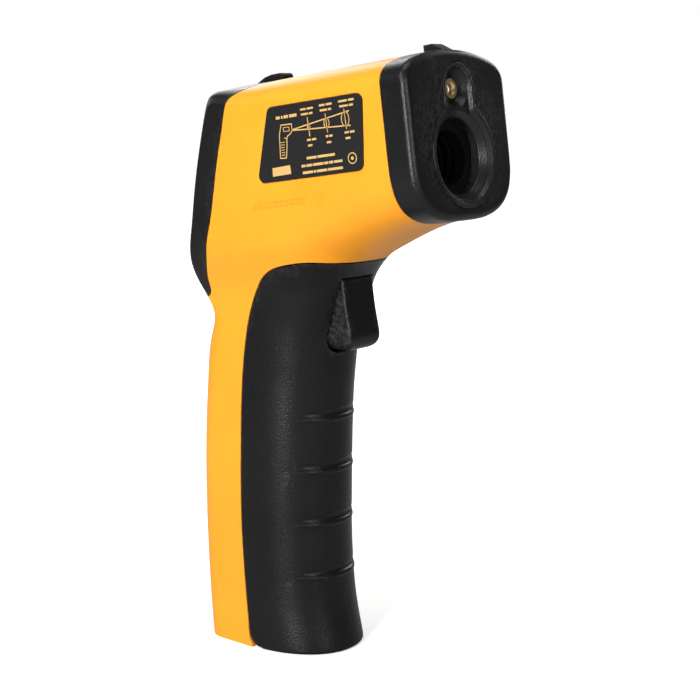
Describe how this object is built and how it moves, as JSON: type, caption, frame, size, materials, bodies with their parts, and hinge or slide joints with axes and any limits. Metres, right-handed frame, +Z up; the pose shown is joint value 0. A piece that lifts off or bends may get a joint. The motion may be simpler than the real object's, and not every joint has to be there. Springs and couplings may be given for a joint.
{
  "type": "infrared_thermometer",
  "caption": "Pistol-grip infrared thermometer: pitched barrel with lens aperture and laser sight, rear display and keys, trigger and hinged battery door grip.",
  "frame": {"origin": "centre of the handle's base, on the plane it stands on", "axes": "+Z up, +X the way the sensor points (the barrel is pitched up 8 degrees from it), +Y to the instrument's left"},
  "size_m": [0.081, 0.042, 0.1596],
  "materials": {
    "orange_shell": "satin injection moulded orange-yellow ABS with a very fine even grain",
    "black_plastic": "fine spark-textured black ABS, semi-matte",
    "grip_rubberised": "fine-grained soft-feel black moulding with raised finger ribs",
    "inner_plastic": "plain black internal moulding",
    "label_print": "black printed polyester plate with thin ochre line art",
    "clear_window": "clear acrylic pane with a dark printed border",
    "lcd_glass": "grey-green passive display glass",
    "backlight": "milky light guide",
    "circuit_board": "green solder mask over glass laminate",
    "component_black": "moulded electronic package",
    "key_rubber": "grey silicone keys, matte",
    "brass": "turned brass, fine lathe lines",
    "steel": "bright zinc plated steel",
    "nickel": "nickel plated spring steel",
    "ir_optic": "dark infrared-transmitting lens",
    "laser_optic": "small coated collimating lens",
    "cell_wrap": "plain shrink sleeve over a steel can",
    "wire_red": "silicone insulated hook-up wire",
    "elastomer": "layered conductive elastomer strip"
  },
  "bodies": {
    "housing": {"body_shell_right": "orange_shell", "body_shell_left": "orange_shell", "nose_cap": "black_plastic", "optic_bezel": "black_plastic", "rear_bezel": "black_plastic", "display_window": "clear_window", "lcd_module": "lcd_glass", "lcd_backlight": "backlight", "contact_strip": "elastomer", "main_board": "circuit_board", "board_components": "component_black", "board_screws": "steel", "key_switches": "component_black", "trigger_pin": "steel", "trigger_spring": "nickel", "trigger_bracket": "inner_plastic", "trigger_switch": "component_black", "lens_tube": "inner_plastic", "ir_lens": "ir_optic", "lens_retainer": "inner_plastic", "thermopile_sensor": "nickel", "sensor_board": "circuit_board", "sensor_screws": "steel", "laser_module": "brass", "laser_lens": "laser_optic", "battery_tray": "inner_plastic", "battery_cells": "cell_wrap", "battery_bridge": "nickel", "battery_contacts": "nickel", "battery_springs": "nickel", "case_screws": "steel", "side_label_right": "label_print", "side_label_left": "label_print", "battery_wires": "wire_red", "laser_wires": "wire_red", "sensor_wires": "wire_red"},
    "trigger_body": {"trigger": "black_plastic"},
    "plunger_body": {"switch_plunger": "inner_plastic"},
    "door_body": {"battery_door": "grip_rubberised"},
    "key_left_body": {"button_left": "key_rubber"},
    "key_center_body": {"button_center": "key_rubber"},
    "key_right_body": {"button_right": "key_rubber"}
  },
  "joints": [
    {"name": "trigger_pull", "type": "hinge", "parent": "housing", "child": "trigger_body", "pos_m": [0.0158, 0, 0.0995], "axis": [0, 1, 0], "range_deg": [0, 7], "stiffness_Nm_per_rad": 0.02, "springref_deg": -5.73},
    {"name": "switch_press", "type": "slide", "parent": "housing", "child": "plunger_body", "axis": [-1, 0, 0], "range_m": [0, 0.0015]},
    {"name": "battery_door_open", "type": "hinge", "parent": "housing", "child": "door_body", "pos_m": [0.0022, 0, 0.0048], "axis": [0, 1, 0], "range_deg": [0, 60]},
    {"name": "key_left_press", "type": "slide", "parent": "housing", "child": "key_left_body", "axis": [0.9858, 0, -0.168], "range_m": [0, 0.0006], "stiffness_N_per_m": 150, "springref_m": -0.0004},
    {"name": "key_center_press", "type": "slide", "parent": "housing", "child": "key_center_body", "axis": [0.9858, 0, -0.168], "range_m": [0, 0.0006], "stiffness_N_per_m": 150, "springref_m": -0.0004},
    {"name": "key_right_press", "type": "slide", "parent": "housing", "child": "key_right_body", "axis": [0.9858, 0, -0.168], "range_m": [0, 0.0006], "stiffness_N_per_m": 150, "springref_m": -0.0004}
  ],
  "couplings": [
    {"joint": "switch_press", "follows": "trigger_pull", "m_per_rad": 0.0096}
  ]
}
